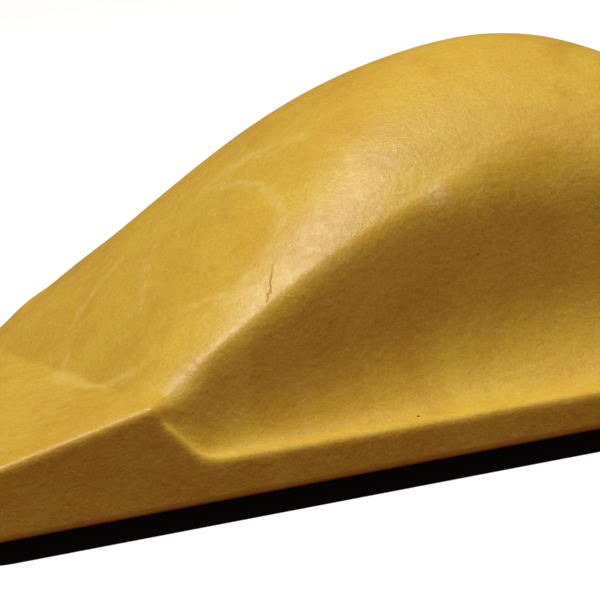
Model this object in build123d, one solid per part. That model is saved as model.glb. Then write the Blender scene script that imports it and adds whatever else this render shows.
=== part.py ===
"""Palm-grip hand sanding block: a moulded foam body on a flat hook-faced sole.

Frame, in millimetres: the origin is the middle of the sole's bottom face, +X runs from the nose
to the tail, +Y is across the block and +Z is up.
"""
import os
from math import exp, hypot

from build123d import *

# ---- outline ---------------------------------------------------------------------------------
LENGTH = 125.0              # nose to tail, the length of a standard sheet
WIDTH = 70.0                # side to side, the width of a standard sheet
CORNER_R = 3.0              # corners of the outline seen from above
EDGE_R = 0.8                # moulded rounding of the body's outer top edges

# ---- sole, from the bottom up ----------------------------------------------------------------
HOOK_TAPE = 1.40            # hook tape, backing and hooks together
SOLE_SHEET = 1.20           # levelling sheet
BOND = 0.15                 # adhesive film
BOND_INSET = 0.4            # the film stops this far inside the outline
SOLE_TOP = HOOK_TAPE + SOLE_SHEET + BOND

# ---- decks in front of the hump and behind it --------------------------------------------------
CREASE_X = -40.0            # straight crease where the hump leaves the front deck
TAIL_CREASE_X = 58.5        # the same at the tail
CREASE_Z = 15.4             # height of both creases at the side of the block
DECK_CROWN = 0.7            # how much higher a deck is at its middle
NOSE_FALL = 0.19            # fall of the front deck per millimetre towards the nose
TAIL_FALL = 0.19            # the same for the tail deck

# ---- hump ------------------------------------------------------------------------------------
PEAK_X = 20.0
CENTRE_LINE = [             # (x, z) of the hump along its middle, from crease to crease
    (CREASE_X, CREASE_Z + DECK_CROWN),
    (-34.0, 21.1),
    (-28.0, 25.9),
    (-20.0, 31.9),
    (-10.0, 38.8),
    (0.0, 43.9),
    (10.0, 46.7),
    (20.0, 47.6),
    (30.0, 45.8),
    (40.0, 40.4),
    (47.0, 34.0),
    (53.0, 26.3),
    (TAIL_CREASE_X, CREASE_Z + DECK_CROWN),
]
SHOULDER_RISE = 4.0         # rise of the arched top where it would meet the side, at the peak
CORNER_DIP = 3.2            # the hump's rounded front corners: extra fall towards the side
CORNER_RUNS = (4.5, 9.5)    # the dip is deepest this far behind a crease, and has gone at the second
ARCH_FLAT = 5.0             # exponent of the cross-section's arch at the creases: nearly flat
ARCH_CORNER = 2.5           # added to the exponent where the front corners are rounded
ARCH_ROUND = 2.0            # the same at the peak: a parabola

# ---- finger scoops, one on each side -----------------------------------------------------------
RIM = 0.25                  # the decks' rounded edges start this far in from the side
STEP_IN = 1.5               # the ridge steps in this far within a few millimetres of a crease
STEP_RUN = 3.0              # length of that step
WAIST = 9.0                 # how much further in the ridge stands at the peak
WAIST_POWER = 1.5           # how fast it gets there from the crease
LEDGE_Z = 7.95              # height of the ledge under the scoop near its ends
LEDGE_DIP = 0.5             # the ledge is this much lower at the peak
LEDGE_FLAT = 0.9            # flat width of the ledge
RAMP_TOP = 12.6             # the ledge's height at a crease
RAMP_FALL = 1.35            # fall of the ramp from there down to the ledge, per millimetre
RAMP_Z = 15.6               # height of the ramp's straight line above the crease
RAMP_SOFT = 1.5             # softness of the ramp's two ends
FOOT_OUT = 2.0              # the cove ends this far outside the side face at a crease
COVE_SHARE = (0.50, 0.47)   # share of the scoop's height taken by the cove: crease, peak
DRAFT = (0.50, 0.10, 0.04)  # the wall's lean per millimetre of height: crease, front, peak
RIDGE_TOP = (0.8, 1.0, 4.6)     # rounding on the crown side of the ridge: crease, front, peak
RIDGE_WALL = (0.9, 3.2, 6.5)    # rounding on the wall side of the ridge: crease, front, peak
RIDGE_START = 2.2           # extra rounding where the ridge leaves the deck
START_RUNS = (4.0, 10.0)    # it fades between these distances behind a crease
WALL_CUT_LIMIT = 0.6        # most of the upright wall that the ridge's rounding may take
MIDDLE_SHARE = 0.8          # share of the way to the peak where the scoop has its middle shape
PEAK_SHARES = (0.62, 1.05)  # shares between which the ridge takes its soft shape of the peak
COVE_PULL = (0.45, 0.55)    # how far the cove's curve leans on the ledge and on the wall
COVE = ("cove_foot", "cove_pull_low", "cove_pull_high", "wall_foot")
ARCH_SPANS = 5              # spans of the curve from the middle to the ridge

OUTSIDE = 12.0              # how far the lofted solid runs past the sides before it is trimmed
PAST_ENDS = 2.0             # how far the decks run past the ends before they are trimmed
HEADROOM = 60.0             # a height above the whole block
TOUCH = 1e-3                # points closer than this are taken as touching
SECTIONS = 14               # cross-sections between a crease and the peak
SECTION_GROWTH = 2.7        # how strongly their spacing widens away from the crease


def blend(share, start, end):
    """0 before start, 1 after end and a smooth step between them."""
    t = min(max((share - start) / (end - start), 0.0), 1.0)
    return t * t * (3 - 2 * t)


def mix(low, high, share):
    return low + (high - low) * share


def soft_max(a, b, width):
    """The larger of two values, with the change-over rounded."""
    return 0.5 * (a + b + hypot(a - b, width))


def hump_share(x):
    """0 at either crease and 1 at the peak."""
    if x <= PEAK_X:
        return (x - CREASE_X) / (PEAK_X - CREASE_X)
    return (TAIL_CREASE_X - x) / (TAIL_CREASE_X - PEAK_X)


def ledge_height(run, share):
    """Height of the ledge at a distance behind a crease; it starts as a steep ramp."""
    ramp = -soft_max(-RAMP_TOP, RAMP_FALL * run - RAMP_Z, RAMP_SOFT / 2)
    return soft_max(ramp, LEDGE_Z - LEDGE_DIP * share, RAMP_SOFT)


def centre_height(line, x):
    """Height of the hump's middle at x, read from the spline line."""
    cut = Edge.make_line((x, 0, 0), (x, 0, HEADROOM))
    return line.intersect(cut).vertices()[0].Z


def section_points(x, centre):
    """Points of one side of the cross-section at x, as (distance from the middle, height)."""
    u = hump_share(x)
    run = min(abs(x - CREASE_X), abs(TAIL_CREASE_X - x))
    half = WIDTH / 2
    corner = blend(run, 0.0, CORNER_RUNS[0]) * (1 - blend(run, *CORNER_RUNS))
    side = CREASE_Z + SHOULDER_RISE * (1 - (1 - u) ** 2) - CORNER_DIP * corner
    power = mix(ARCH_ROUND, ARCH_FLAT, (1 - u) ** 2) + ARCH_CORNER * corner

    def arch(y):
        return centre - (centre - side) * (y / half) ** power

    def arch_slope(y):
        return -(centre - side) * power * (y / half) ** (power - 1) / half

    leave = blend(run, 0.0, STEP_RUN)
    middle = blend(u, 0.0, MIDDLE_SHARE)
    peak = blend(u, *PEAK_SHARES)

    ridge_y = half - RIM - STEP_IN * leave - WAIST * (1 - (1 - u) ** WAIST_POWER)
    ridge_z = arch(ridge_y)
    ledge = ledge_height(run, u)
    cove_high = mix(*COVE_SHARE, middle) * (ridge_z - ledge)
    draft = mix(mix(DRAFT[0], DRAFT[1], leave), DRAFT[2], middle)
    wall_foot = (ridge_y + (ridge_z - ledge - cove_high) * draft, ledge + cove_high)
    foot_y = half + mix(FOOT_OUT, -LEDGE_FLAT, leave)
    cove_wide = foot_y - wall_foot[0]
    pull = COVE_PULL[1] * cove_high

    start = leave * (1 - blend(run, *START_RUNS))
    top_cut = mix(mix(RIDGE_TOP[0], RIDGE_TOP[1], leave), RIDGE_TOP[2], peak) + RIDGE_START * start
    wall_cut = mix(mix(RIDGE_WALL[0], RIDGE_WALL[1], leave), RIDGE_WALL[2], peak)
    wall_cut = min(wall_cut, WALL_CUT_LIMIT * (ridge_z - wall_foot[1]))
    lean = hypot(draft, 1.0)
    wall_top = (ridge_y + wall_cut * draft / lean, ridge_z - wall_cut / lean)
    arch_end_y = ridge_y - top_cut
    slope = arch_slope(arch_end_y)
    # where the wall's line and the arch's tangent cross
    apex_y = (arch(arch_end_y) - slope * arch_end_y - ridge_z - ridge_y / draft) / (-1 / draft - slope)
    apex = (apex_y, arch(arch_end_y) + slope * (apex_y - arch_end_y))
    return {
        "outer_ledge": (half + OUTSIDE, ledge),
        "cove_foot": (foot_y, ledge),
        "cove_pull_low": (wall_foot[0] + COVE_PULL[0] * cove_wide, ledge),
        "cove_pull_high": (wall_foot[0] + pull * draft, wall_foot[1] - pull),
        "wall_foot": wall_foot,
        "wall_top": wall_top,
        "apex": apex,
        "arch": [(y, arch(y)) for y in (arch_end_y * k / ARCH_SPANS for k in range(ARCH_SPANS + 1))],
        "arch_slope": slope,
    }


def hump_section(x, centre):
    """The closed cross-section of the hump at x."""
    pts = section_points(x, centre)

    def at(point, side):
        return Vector(x, side * point[0], point[1])

    arch_left = [at(p, -1) for p in reversed(pts["arch"])]
    arch_right = [at(p, 1) for p in pts["arch"][1:]]
    slope = pts["arch_slope"]
    edges = [Edge.make_line(Vector(x, WIDTH / 2 + OUTSIDE, 0), Vector(x, -WIDTH / 2 - OUTSIDE, 0))]
    edges += [
        Edge.make_line(Vector(x, -WIDTH / 2 - OUTSIDE, 0), at(pts["outer_ledge"], -1)),
        Edge.make_line(at(pts["outer_ledge"], -1), at(pts["cove_foot"], -1)),
        Edge.make_bezier(*[at(pts[k], -1) for k in COVE]),
        Edge.make_line(at(pts["wall_foot"], -1), at(pts["wall_top"], -1)),
        Edge.make_bezier(at(pts["wall_top"], -1), at(pts["apex"], -1), arch_left[0]),
        Edge.make_spline(
            arch_left + arch_right,
            tangents=[Vector(0, 1, -slope), Vector(0, 1, slope)],
        ),
        Edge.make_bezier(arch_right[-1], at(pts["apex"], 1), at(pts["wall_top"], 1)),
        Edge.make_line(at(pts["wall_top"], 1), at(pts["wall_foot"], 1)),
        Edge.make_bezier(*[at(pts[k], 1) for k in reversed(COVE)]),
        Edge.make_line(at(pts["cove_foot"], 1), at(pts["outer_ledge"], 1)),
        Edge.make_line(at(pts["outer_ledge"], 1), Vector(x, WIDTH / 2 + OUTSIDE, 0)),
    ]
    return Wire(edges)


def stations(crease_x):
    """Section positions from a crease to the peak, closest together at the crease."""
    steps = [exp(SECTION_GROWTH * k / SECTIONS) - 1 for k in range(SECTIONS + 1)]
    return [mix(crease_x, PEAK_X, step / steps[-1]) for step in steps]


def hump():
    """The hump, lofted from crease to crease; its sides run past the outline."""
    line = Spline(*[(x, 0, z) for x, z in CENTRE_LINE])
    places = stations(CREASE_X) + stations(TAIL_CREASE_X)[-2::-1]
    return Solid.make_loft([hump_section(x, centre_height(line, x)) for x in places])


def deck(crease_x, end_x, fall):
    """A low deck: the hump's first cross-section carried on to just past the end of the block."""
    section = hump_section(crease_x, CREASE_Z + DECK_CROWN)
    end = Pos(end_x - crease_x, 0, -fall * abs(end_x - crease_x)) * section
    return Solid.make_loft([section, end], ruled=True)


def outline(low, high, inset=0.0):
    """The block's rounded rectangle between two heights."""
    plan = RectangleRounded(LENGTH - 2 * inset, WIDTH - 2 * inset, CORNER_R - inset)
    return extrude(Pos(0, 0, low) * plan, high - low)


def wall_gap(point):
    """How far a point stands inside the outline's side walls."""
    over_x = max(abs(point.X) - (LENGTH / 2 - CORNER_R), 0.0)
    over_y = max(abs(point.Y) - (WIDTH / 2 - CORNER_R), 0.0)
    return CORNER_R - hypot(over_x, over_y)


def is_top_edge(edge):
    """True for an edge that runs along the top of the side walls."""
    points = [edge.position_at(k) for k in (0.0, 0.5, 1.0)]
    on_wall = all(abs(wall_gap(p)) < TOUCH for p in points)
    upright = hypot(points[2].X - points[0].X, points[2].Y - points[0].Y) < TOUCH
    return on_wall and not upright and points[1].Z > SOLE_TOP + TOUCH


def grip_body():
    nose = deck(CREASE_X, -LENGTH / 2 - PAST_ENDS, NOSE_FALL)
    tail = deck(TAIL_CREASE_X, LENGTH / 2 + PAST_ENDS, TAIL_FALL)
    block = outline(SOLE_TOP, HEADROOM) & (hump() + nose + tail)
    solid = block.solids()[0]
    return solid.fillet(EDGE_R, [edge for edge in solid.edges() if is_top_edge(edge)])


def main():
    sheet_top = HOOK_TAPE + SOLE_SHEET
    nodes = {
        "grip_body": grip_body(),
        "sole_bond": outline(sheet_top, SOLE_TOP, BOND_INSET),
        "sole_sheet": outline(HOOK_TAPE, sheet_top),
        "hook_tape": outline(0.0, HOOK_TAPE),
    }
    os.makedirs("parts", exist_ok=True)
    for name, solid in nodes.items():
        export_step(solid, f"parts/{name}.step")


if __name__ == "__main__":
    main()
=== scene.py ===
import bpy
import bmesh
import math
import random
from mathutils import Matrix, Vector


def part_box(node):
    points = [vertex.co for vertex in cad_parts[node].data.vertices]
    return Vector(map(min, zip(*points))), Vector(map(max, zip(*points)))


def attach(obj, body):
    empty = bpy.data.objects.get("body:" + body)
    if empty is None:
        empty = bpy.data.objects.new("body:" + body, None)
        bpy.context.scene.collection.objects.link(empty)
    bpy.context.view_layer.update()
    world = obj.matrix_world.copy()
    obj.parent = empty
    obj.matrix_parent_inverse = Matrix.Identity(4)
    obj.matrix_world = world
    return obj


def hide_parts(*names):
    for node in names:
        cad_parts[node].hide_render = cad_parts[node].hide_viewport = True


MM = 0.001

# ---- camera: the photograph's viewing angle --------------------------------------------------
VIEW_AZIMUTH = 20.24        # degrees, 0 looks along +Y
VIEW_ELEVATION = 9.0        # degrees above the horizon
VIEW_ROLL = 7.0             # degrees, the picture turned anticlockwise
VIEW_DISTANCE = 1000 * MM
VIEW_TARGET = Vector((-12.57, -15.0, 21.43)) * MM
VIEW_WIDTH = 72.56 * MM     # what the picture spans at the target
VIEW_CLIP = (0.05, 30.0)    # metres, the nearest and farthest things shown
SENSOR = 36.0               # millimetres

# ---- stage -----------------------------------------------------------------------------------
FLOOR_SIZE = 12             # metres
FLOOR_TONES = ((0.80, 0.80, 0.80), (0.83, 0.83, 0.83))
FLOOR_GLOW = 0.55           # light that the floor gives off, so that it looks white
AMBIENT = (1.0, 0.41, 0.28)     # warm light from all around, which fills the shadows
AMBIENT_STRENGTH = 0.15
LIGHT_AIM = (0, 0, 0.02)
LIGHTS = (("key", (-0.10, -0.06, 1.0), 0.42, 7.6),      # name, place, diameter in metres, watts
          ("front", (-0.14, -0.46, 0.85), 0.07, 1.4))

# ---- foam body -------------------------------------------------------------------------------
BODY_VOXEL = 0.56 * MM      # size of the body's mesh cells
BODY_WAVE = 0.05 * MM       # height, trough to crest, of the larger wave in the moulding
LARGE_WAVE = ((210, 0, 0, 1.3), (0, 260, 190, 0.4))     # two sines across each other: radians
SMALL_WAVE = ((470, 0, -380, 2.0), (0, 430, 0, 1.1))    # per metre along x, y and z, and phase
SMALL_SHARE = 0.6           # the smaller wave's height as a share of the larger one's
PLAIN_FOOT = 6 * MM         # the body is even up to this height above its underside
PLAIN_EDGE = 0.6 * MM       # and this near the sides and ends of its box

# ---- foam colours, as linear light -----------------------------------------------------------
FOAM_CLOUDS = ((0.690, 0.425, 0.036), (0.780, 0.545, 0.058))
FOAM_PATCH = (0.790, 0.570, 0.085)
FOAM_RING = (0.90, 0.66, 0.17)
FOAM_GRAIN = (0.43, 0.23, 0.016)
FOAM_FLECK = (0.92, 0.70, 0.22)
FOAM_SPECK = (0.40, 0.17, 0.012)
# painted shade inside the pinholes, a darker copy of the foam colour
FOAM_HOLE_SHADE = (0.13, 0.05, 0.004)
# painted shade inside the crack, a darker copy of the foam colour
FOAM_CRACK_SHADE = (0.30, 0.13, 0.015)
# pale colour of the painted highlight spot on the ridge
FOAM_HIGHLIGHT = (0.92, 0.74, 0.36)
FOAM_ROUGHNESS = (0.32, 0.44)           # lowest and highest
SUBSURFACE_REACH = (1.0, 0.35, 0.06)    # red goes deepest

# ---- marks on the foam's skin, in millimetres in the object's frame --------------------------
# SIDES, ENDS and EDGE say how far out a mark begins to fade, and how far out it is gone.
# WANDER is how wide a band a line strays over.
FLOW_RINGS = (((-29.0, -10.0, 27.0), 17.0, 1.3),        # centre, radius, width to each side
              ((-20.0, -14.0, 33.0), 15.5, 1.3))
RING_WANDER = 9.0
CRACK_MIDDLE = (-20.4, -26.6, 26.0)
CRACK_ACROSS = (-0.83, 0.54, 0.07)      # direction square to the crack, along the skin
CRACK_SIDES = (0.03, 0.10)
CRACK_ENDS = (2.4, 3.3)
CRACK_WANDER = 1.6
HIGHLIGHT_SPOT = (3.0, -24.8, 32.6)              # a spot of painted highlight on the ridge
HIGHLIGHT_SPOT_EDGE = (0.5, 2.6)
PINHOLE = (-5.9, -32.6, 8.0)
PINHOLE_EDGE = (0.12, 0.26)

# ---- blacks of the sole, as linear light -----------------------------------------------------
RUBBER_TONES = ((0.0006, 0.0006, 0.0007), (0.0016, 0.0016, 0.0018))
RUBBER_CELL = (0.0024, 0.0024, 0.0026)
BOND_TONES = ((0.0015, 0.0012, 0.0010), (0.0050, 0.0042, 0.0030))
HOOK_TONES = ((0.0006, 0.0006, 0.0007), (0.0026, 0.0026, 0.0028))

# ---- hook tape -------------------------------------------------------------------------------
BACKING = 0.5 * MM          # thickness of the tape's woven backing
WEAVE_WARP = 0.55           # millimetres between threads along x
WEAVE_WEFT = 0.45           # and along y
TAPE_CORNER = 3 * MM        # radius of the tape's corners
CORNER_STEPS = 8
SEALED_EDGE = 0.7 * MM      # width of the heat-cut edge around the hooks
EDGE_LIFT = 0.04 * MM       # from the tape's lowest level up to its sealed edge
EDGE_ROW = 0.08 * MM        # height of the lowest row of faces around the sealed edge
HOOK_PITCH = (1.75 * MM, 1.55 * MM)     # the hooks' least spacing along x and y
HOOK_SHIFT = 0.25           # every other column is shifted by this share of the pitch
HOOK_MARGIN = 0.7 * MM      # from the sealed edge to the first hooks
HOOK_WIRE = 0.16 * MM       # diameter of a hook's filament
HOOK_SPREAD = 0.38 * MM     # how far a hook reaches sideways
HOOK_STEPS = 5              # straight pieces in a hook's bend
HOOK_TIP = 0.12 * MM        # how far its end rises after the bend
HOOK_ROOT = 0.02 * MM       # how far it starts inside the backing
HOOK_TURN = 0.35            # radians, how far it may be turned out of line
HOOK_SHORTER = 0.05         # millimetres, how much shorter it may be
HOOK_SEED = 7
SPLIT_ANGLE = 50            # degrees, edges sharper than this stay crisp


def add_camera():
    data = bpy.data.cameras.new("camera")
    data.sensor_width = SENSOR
    data.lens = SENSOR * VIEW_DISTANCE / VIEW_WIDTH
    data.clip_start, data.clip_end = VIEW_CLIP
    camera = bpy.data.objects.new("camera", data)
    bpy.context.scene.collection.objects.link(camera)
    azimuth, elevation = math.radians(VIEW_AZIMUTH), math.radians(VIEW_ELEVATION)
    level = math.cos(elevation)
    back = Vector((-math.sin(azimuth) * level, -math.cos(azimuth) * level, math.sin(elevation)))
    roll = Matrix.Rotation(math.radians(-VIEW_ROLL), 4, "Z")
    turn = (-back).to_track_quat("-Z", "Y").to_matrix().to_4x4() @ roll
    camera.matrix_world = Matrix.Translation(VIEW_TARGET + back * VIEW_DISTANCE) @ turn
    bpy.context.scene.camera = camera


def add_area(name, place, size, power):
    """A round area light that faces the object."""
    data = bpy.data.lights.new(name, "AREA")
    data.shape, data.size, data.energy = "DISK", size, power
    light = bpy.data.objects.new(name, data)
    light.location = place
    light.rotation_euler = (Vector(LIGHT_AIM) - Vector(place)).to_track_quat("-Z", "Y").to_euler()
    bpy.context.scene.collection.objects.link(light)


class Nodes:
    """A small helper that adds nodes to a material and joins them. Its noise scales are per mm."""

    def __init__(self, name):
        self.material = bpy.data.materials.new(name)
        self.material.use_nodes = True
        self.tree = self.material.node_tree
        self.shader = self.tree.nodes["Principled BSDF"]
        place = self.tree.nodes.new("ShaderNodeTexCoord").outputs["Object"]
        self.mm = self.vector("SCALE", place, scale=1 / MM)

    def put(self, socket, value):
        """Join an output to a socket, or set the socket to a plain value."""
        if hasattr(value, "is_linked"):
            self.tree.links.new(value, socket)
        else:
            socket.default_value = value

    def shade(self, key, value):
        """Set one of the shader's inputs."""
        self.put(self.shader.inputs[key], value)

    def vector(self, operation, a, b=None, scale=None):
        node = self.tree.nodes.new("ShaderNodeVectorMath")
        node.operation = operation
        self.put(node.inputs[0], a)
        if b is not None:
            self.put(node.inputs[1], b)
        if scale is not None:
            self.put(node.inputs["Scale"], scale)
        return node.outputs["Value" if operation in ("DISTANCE", "DOT_PRODUCT") else "Vector"]

    def math(self, operation, a, b=0.0):
        node = self.tree.nodes.new("ShaderNodeMath")
        node.operation = operation
        self.put(node.inputs[0], a)
        self.put(node.inputs[1], b)
        return node.outputs[0]

    def noise(self, scale, detail=3.0, rough=0.55, twist=0.0):
        node = self.tree.nodes.new("ShaderNodeTexNoise")
        self.put(node.inputs["Vector"], self.mm)
        node.inputs["Scale"].default_value = scale
        node.inputs["Detail"].default_value = detail
        node.inputs["Roughness"].default_value = rough
        node.inputs["Distortion"].default_value = twist
        return node.outputs["Fac"]

    def spots(self, scale):
        node = self.tree.nodes.new("ShaderNodeTexVoronoi")
        self.put(node.inputs["Vector"], self.mm)
        node.inputs["Scale"].default_value = scale
        return node.outputs["Distance"]

    def range(self, value, low, high, to_low=0.0, to_high=1.0):
        node = self.tree.nodes.new("ShaderNodeMapRange")
        node.interpolation_type = "SMOOTHSTEP"
        self.put(node.inputs["Value"], value)
        for key, number in zip(("From Min", "From Max", "To Min", "To Max"), (low, high, to_low, to_high)):
            node.inputs[key].default_value = number
        return node.outputs["Result"]

    def fade(self, value, full, gone):
        """1 up to one value, and 0 from another."""
        return self.range(value, full, gone, 1.0, 0.0)

    def near(self, place, full, gone):
        """A round mark: 1 within one distance of a place, and 0 beyond another."""
        return self.fade(self.vector("DISTANCE", self.mm, place), full, gone)

    def vary(self, scale, low=0.0, high=1.0, detail=3.0, rough=0.55):
        """Noise that fills the range between two values."""
        return self.range(self.noise(scale, detail, rough), 0.3, 0.7, low, high)

    def wander(self, reach, scale, rough=0.55):
        """A drift to both sides of 0, by up to half the reach."""
        return self.math("MULTIPLY", self.math("SUBTRACT", self.noise(scale, 3.0, rough), 0.5), reach)

    def mix(self, share, a, b):
        node = self.tree.nodes.new("ShaderNodeMix")
        node.data_type = "RGBA"
        self.put(node.inputs[0], share)
        for socket, value in ((node.inputs[6], a), (node.inputs[7], b)):
            self.put(socket, (*value, 1.0) if isinstance(value, tuple) else value)
        return node.outputs[2]

    def stain(self, colour, mark, share, tint):
        """A colour with a share of a tint where a mark is."""
        return self.mix(self.math("MULTIPLY", mark, share), colour, tint)

    def bump(self, height, strength, distance, normal=None):
        node = self.tree.nodes.new("ShaderNodeBump")
        node.inputs["Strength"].default_value = strength
        node.inputs["Distance"].default_value = distance
        self.put(node.inputs["Height"], height)
        if normal is not None:
            self.put(node.inputs["Normal"], normal)
        return node.outputs["Normal"]


def flow_ring(n, centre, radius, width):
    """A faint broken ring where two fronts of foam met in the mould."""
    reach = n.math("ADD", n.vector("DISTANCE", n.mm, centre), n.wander(RING_WANDER, 0.07))
    line = n.fade(n.math("ABSOLUTE", n.math("SUBTRACT", reach, radius)), 0.0, width)
    broken = n.range(n.noise(0.11, 4.0, 0.6), 0.40, 0.62)
    return n.math("MULTIPLY", line, broken)


def mottling(n):
    """The foam's colour: broad clouds with patches, flow rings, grain, flecks and specks."""
    cloud = n.range(n.noise(0.055, 4.0, 0.6, twist=1.2), 0.34, 0.68)
    patch = n.range(n.noise(0.32, 4.0, 0.65), 0.32, 0.70)
    rings = n.math("MAXIMUM", *(flow_ring(n, *ring) for ring in FLOW_RINGS))
    grain = n.fade(n.noise(1.9, 4.0, 0.75), 0.36, 0.66)
    fleck = n.range(n.noise(2.6, 3.0, 0.7), 0.56, 0.74)
    speck = n.fade(n.noise(5.5, 2.0, 0.7), 0.26, 0.44)
    colour = n.mix(cloud, *FOAM_CLOUDS)
    colour = n.stain(colour, patch, 0.40, FOAM_PATCH)
    colour = n.stain(colour, rings, 0.55, FOAM_RING)
    colour = n.stain(colour, grain, 0.22, FOAM_GRAIN)
    colour = n.stain(colour, fleck, 0.34, FOAM_FLECK)
    return n.stain(colour, speck, 0.28, FOAM_SPECK)


def pinholes(n):
    """Pinholes scattered in a few patches of the skin, and one on the ledge."""
    patches = n.range(n.noise(0.30, 2.0), 0.66, 0.70)
    scattered = n.math("MULTIPLY", n.fade(n.spots(0.42), 0.05, 0.11), patches)
    return n.math("MAXIMUM", scattered, n.near(PINHOLE, *PINHOLE_EDGE))


def hairline_crack(n):
    """A short crack that wavers along the skin."""
    aside = n.vector("DOT_PRODUCT", n.vector("SUBTRACT", n.mm, CRACK_MIDDLE), CRACK_ACROSS)
    aside = n.math("ABSOLUTE", n.math("ADD", aside, n.wander(CRACK_WANDER, 0.7, 0.6)))
    return n.math("MULTIPLY", n.fade(aside, *CRACK_SIDES), n.near(CRACK_MIDDLE, *CRACK_ENDS))


def ridge_highlight_spot(n):
    """A pale, broken spot of painted highlight on the ridge."""
    return n.math("MULTIPLY", n.near(HIGHLIGHT_SPOT, *HIGHLIGHT_SPOT_EDGE), n.range(n.noise(1.6, 4.0, 0.7), 0.40, 0.62))


def foam_material():
    """Integral-skin foam: a dull satin yellow skin, mottled, with flow marks, pinholes and a crack
    darkened with painted shade, and a spot of painted highlight on the ridge.
    """
    n = Nodes("foam")
    hole, crack = pinholes(n), hairline_crack(n)
    # the pinholes are darkened with painted shade
    colour = n.mix(hole, mottling(n), FOAM_HOLE_SHADE)
    # the crack is darkened with painted shade
    colour = n.stain(colour, crack, 0.5, FOAM_CRACK_SHADE)
    # a spot of painted highlight is mixed in on the ridge
    n.shade("Base Color", n.stain(colour, ridge_highlight_spot(n), 0.6, FOAM_HIGHLIGHT))
    n.shade("Roughness", n.vary(0.7, *FOAM_ROUGHNESS, detail=4.0, rough=0.6))
    n.shade("Specular IOR Level", 0.36)
    n.shade("Subsurface Weight", 0.25)
    n.shade("Subsurface Radius", SUBSURFACE_REACH)
    n.shade("Subsurface Scale", 1.4 * MM)
    skin = n.math("ADD", n.noise(1.1, 3.0, 0.6), n.math("MULTIPLY", n.noise(4.5, 3.0, 0.6), 0.35))
    sunk = n.math("MULTIPLY", n.math("MAXIMUM", hole, crack), -1.0)
    n.shade("Normal", n.bump(sunk, 0.8, 0.12 * MM, n.bump(skin, 1.0, 0.10 * MM)))
    return n.material


def rubber_material():
    """Closed-cell black sheet, whose cut edge shows tiny cells."""
    n = Nodes("sole_rubber")
    cell = n.range(n.spots(5.0), 0.10, 0.35)
    colour = n.mix(n.vary(1.3, detail=4.0, rough=0.6), *RUBBER_TONES)
    n.shade("Base Color", n.stain(colour, cell, 0.4, RUBBER_CELL))
    n.shade("Roughness", n.vary(2.0, 0.72, 0.9))
    n.shade("Specular IOR Level", 0.12)
    n.shade("Normal", n.bump(cell, 0.6, 0.06 * MM))
    return n.material


def bond_material():
    """The adhesive film's dark edge, a little glossier than its neighbours."""
    n = Nodes("adhesive")
    n.shade("Base Color", n.mix(n.vary(0.9), *BOND_TONES))
    n.shade("Roughness", n.vary(1.6, 0.35, 0.6))
    n.shade("Normal", n.bump(n.noise(1.5), 0.3, 0.03 * MM))
    return n.material


def hook_material():
    """Black nylon: plain-woven backing and slightly shiny hook filaments."""
    n = Nodes("hook_fabric")
    parts = n.tree.nodes.new("ShaderNodeSeparateXYZ")
    n.put(parts.inputs[0], n.mm)
    warp = n.math("SINE", n.math("MULTIPLY", parts.outputs["X"], 2 * math.pi / WEAVE_WARP))
    weft = n.math("SINE", n.math("MULTIPLY", parts.outputs["Y"], 2 * math.pi / WEAVE_WEFT))
    weave = n.math("MULTIPLY", warp, weft)
    tone = n.range(n.math("ADD", weave, n.noise(0.8)), -0.6, 1.6)
    n.shade("Base Color", n.mix(tone, *HOOK_TONES))
    n.shade("Roughness", n.vary(1.8, 0.45, 0.65))
    n.shade("Specular IOR Level", 0.15)
    n.shade("Normal", n.bump(weave, 0.5, 0.06 * MM))
    return n.material


def new_piece(name, mesh):
    piece = bpy.data.objects.new(name, mesh)
    bpy.context.scene.collection.objects.link(piece)
    return piece


def dress(piece, material):
    """Give a piece its only material and smooth shading."""
    piece.data.materials.clear()
    piece.data.materials.append(material)
    for polygon in piece.data.polygons:
        polygon.use_smooth = True


def apply_modifiers(piece):
    """Bake an object's modifiers into its own mesh."""
    graph = bpy.context.evaluated_depsgraph_get()
    baked = bpy.data.meshes.new_from_object(piece.evaluated_get(graph))
    piece.modifiers.clear()
    piece.data = baked


def wave_height(place, wave):
    """The height of one wave, from -1 to 1: the product of its sines."""
    height = 1.0
    for along_x, along_y, along_z, phase in wave:
        height *= math.sin(place.x * along_x + place.y * along_y + place.z * along_z + phase)
    return height


def foam_body(material):
    """The moulded foam: the CAD body remeshed finely, with the moulding's slow unevenness."""
    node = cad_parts["grip_body"]
    piece = new_piece("foam_body", bpy.data.meshes.new_from_object(node))
    remesh = piece.modifiers.new("cells", "REMESH")
    remesh.mode, remesh.voxel_size = "VOXEL", BODY_VOXEL
    wrap = piece.modifiers.new("wrap", "SHRINKWRAP")
    wrap.target = node
    wrap.wrap_method = "NEAREST_SURFACEPOINT"
    apply_modifiers(piece)
    low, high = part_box("grip_body")
    vertices = piece.data.vertices
    skin = [(vertex.co.copy(), vertex.normal.copy()) for vertex in vertices]
    for vertex, (p, normal) in zip(vertices, skin):
        inside = min(p.x - low[0], high[0] - p.x, p.y - low[1], high[1] - p.y)
        if p.z > low[2] + PLAIN_FOOT and inside > PLAIN_EDGE:
            wave = wave_height(p, LARGE_WAVE) + SMALL_SHARE * wave_height(p, SMALL_WAVE)
            vertex.co = p - normal * BODY_WAVE / 2 * (wave + (1 + SMALL_SHARE))
    dress(piece, material)
    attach(piece, "root")
    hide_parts("grip_body")


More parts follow.
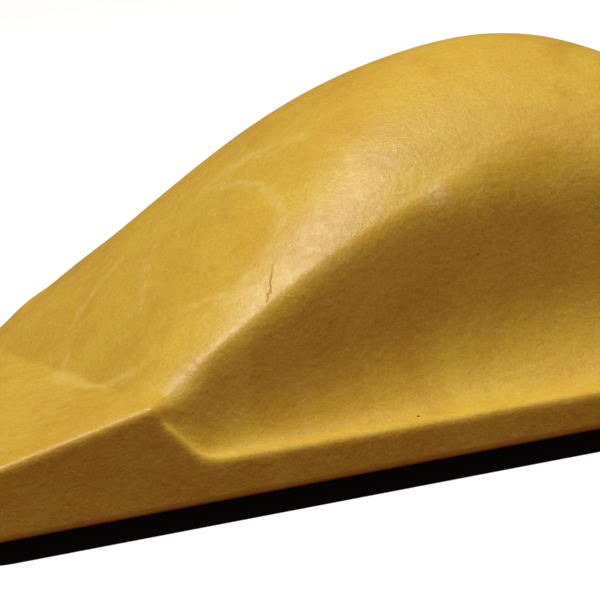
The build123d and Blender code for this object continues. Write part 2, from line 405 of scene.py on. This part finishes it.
def add_hook(bm, foot, turn, drop):
    """One filament: down from the backing, round a bend and a little way up again."""
    along = Vector((math.cos(turn), math.sin(turn), 0.0))
    across = Vector((-along.y, along.x, 0.0))
    half = HOOK_WIRE / 2
    bend = HOOK_SPREAD / 2
    straight = drop - bend - half
    path = [(0.0, 0.0), (0.0, straight)]
    path += [(bend * (1 - math.cos(a)), straight + bend * math.sin(a))
             for a in (math.pi * k / HOOK_STEPS for k in range(1, HOOK_STEPS + 1))]
    path.append((HOOK_SPREAD, straight - HOOK_TIP))
    rings = []
    for k, (side, down) in enumerate(path):
        before = Vector(path[max(k - 1, 0)])
        after = Vector(path[min(k + 1, len(path) - 1)])
        run = (after - before).normalized()
        middle = foot + along * side + Vector((0, 0, -down))
        out = (along * run.y + Vector((0, 0, 1)) * run.x) * half
        offsets = (out, across * half, -out, -across * half)
        rings.append([bm.verts.new(middle + offset) for offset in offsets])
    join_rings(bm, rings)
    bm.faces.new(rings[-1])
    bm.faces.new(rings[0][::-1])


def join_rings(bm, rings):
    """Faces between each closed ring of vertices and the next."""
    for ring, after in zip(rings, rings[1:]):
        for k in range(len(ring)):
            j = (k + 1) % len(ring)
            bm.faces.new((ring[k], ring[j], after[j], after[k]))


def plan_outline(low, high, radius):
    """Points around a rounded rectangle."""
    corners = ((high[0] - radius, high[1] - radius, 0), (low[0] + radius, high[1] - radius, 1),
               (low[0] + radius, low[1] + radius, 2), (high[0] - radius, low[1] + radius, 3))
    return [(x + radius * math.cos(a), y + radius * math.sin(a))
            for x, y, quarter in corners
            for a in (math.pi / 2 * (quarter + k / CORNER_STEPS) for k in range(CORNER_STEPS + 1))]


def tape_backing(bm, low, high):
    """The backing with its melted, cut edge, which stands down around the hooks."""
    inner_low = (low[0] + SEALED_EDGE, low[1] + SEALED_EDGE)
    inner_high = (high[0] - SEALED_EDGE, high[1] - SEALED_EDGE)
    outer = plan_outline(low, high, TAPE_CORNER)
    inner = plan_outline(inner_low, inner_high, TAPE_CORNER - SEALED_EDGE)
    under, foot = high[2] - BACKING, low[2] + EDGE_LIFT
    rings = [[bm.verts.new((x, y, z)) for x, y in plan]
             for plan, z in ((outer, high[2]), (outer, foot + EDGE_ROW), (outer, foot), (inner, foot),
                             (inner, under))]
    join_rings(bm, rings)
    bm.faces.new(rings[0])
    bm.faces.new(rings[-1][::-1])


def hook_tape(material):
    """The tape's backing with its field of hooks underneath."""
    low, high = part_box("hook_tape")
    dice = random.Random(HOOK_SEED)
    bm = bmesh.new()
    under = high[2] - BACKING
    tape_backing(bm, low, high)
    margin = SEALED_EDGE + HOOK_MARGIN
    field_x, field_y = high[0] - low[0] - 2 * margin, high[1] - low[1] - 2 * margin
    columns, rows = int(field_x / HOOK_PITCH[0]), int(field_y / HOOK_PITCH[1])
    for i in range(columns + 1):
        for j in range(rows + 1):
            x = low[0] + margin + field_x * i / columns
            y = low[1] + margin + field_y * (j + HOOK_SHIFT * (i % 2)) / (rows + HOOK_SHIFT)
            turn = math.pi * ((i + j) % 2) + dice.uniform(-HOOK_TURN, HOOK_TURN)
            foot = Vector((x - HOOK_SPREAD / 2 * math.cos(turn), y - HOOK_SPREAD / 2 * math.sin(turn),
                           under + HOOK_ROOT))
            add_hook(bm, foot, turn, under - low[2] - dice.uniform(0.0, HOOK_SHORTER) * MM)
    bmesh.ops.recalc_face_normals(bm, faces=bm.faces)
    mesh = bpy.data.meshes.new("hook_tape_hooks")
    bm.to_mesh(mesh)
    bm.free()
    piece = new_piece("hook_tape_hooks", mesh)
    dress(piece, material)
    edge = piece.modifiers.new("edges", "EDGE_SPLIT")
    edge.split_angle = math.radians(SPLIT_ANGLE)
    apply_modifiers(piece)
    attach(piece, "root")
    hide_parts("hook_tape")


def stage():
    """A white floor that casts no light on the object, a warm ambient light and two lamps."""
    bpy.ops.mesh.primitive_plane_add(size=FLOOR_SIZE, location=(0, 0, 0))
    floor = bpy.context.object
    floor.name = "floor"
    n = Nodes("floor")
    n.shade("Base Color", n.mix(n.vary(0.01), *FLOOR_TONES))
    n.shade("Roughness", 0.85)
    n.shade("Emission Color", (1, 1, 1, 1))
    n.shade("Emission Strength", FLOOR_GLOW)
    floor.data.materials.append(n.material)
    floor.visible_diffuse = False
    floor.visible_glossy = False

    world = bpy.data.worlds.new("world")
    bpy.context.scene.world = world
    world.use_nodes = True
    background = world.node_tree.nodes["Background"]
    background.inputs["Color"].default_value = (*AMBIENT, 1)
    background.inputs["Strength"].default_value = AMBIENT_STRENGTH
    for name, place, size, power in LIGHTS:
        add_area(name, place, size, power)
    bpy.context.scene.view_settings.view_transform = "Standard"


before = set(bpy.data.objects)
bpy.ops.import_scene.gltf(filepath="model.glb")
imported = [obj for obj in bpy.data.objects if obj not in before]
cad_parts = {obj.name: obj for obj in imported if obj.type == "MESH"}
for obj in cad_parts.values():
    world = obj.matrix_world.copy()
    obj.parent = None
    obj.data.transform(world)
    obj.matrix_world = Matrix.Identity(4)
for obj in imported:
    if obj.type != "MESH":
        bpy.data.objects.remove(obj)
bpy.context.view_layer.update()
add_camera()
stage()
foam_body(foam_material())
hook_tape(hook_material())
for name, material in (("sole_bond", bond_material()), ("sole_sheet", rubber_material())):
    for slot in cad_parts[name].material_slots:
        slot.material = material
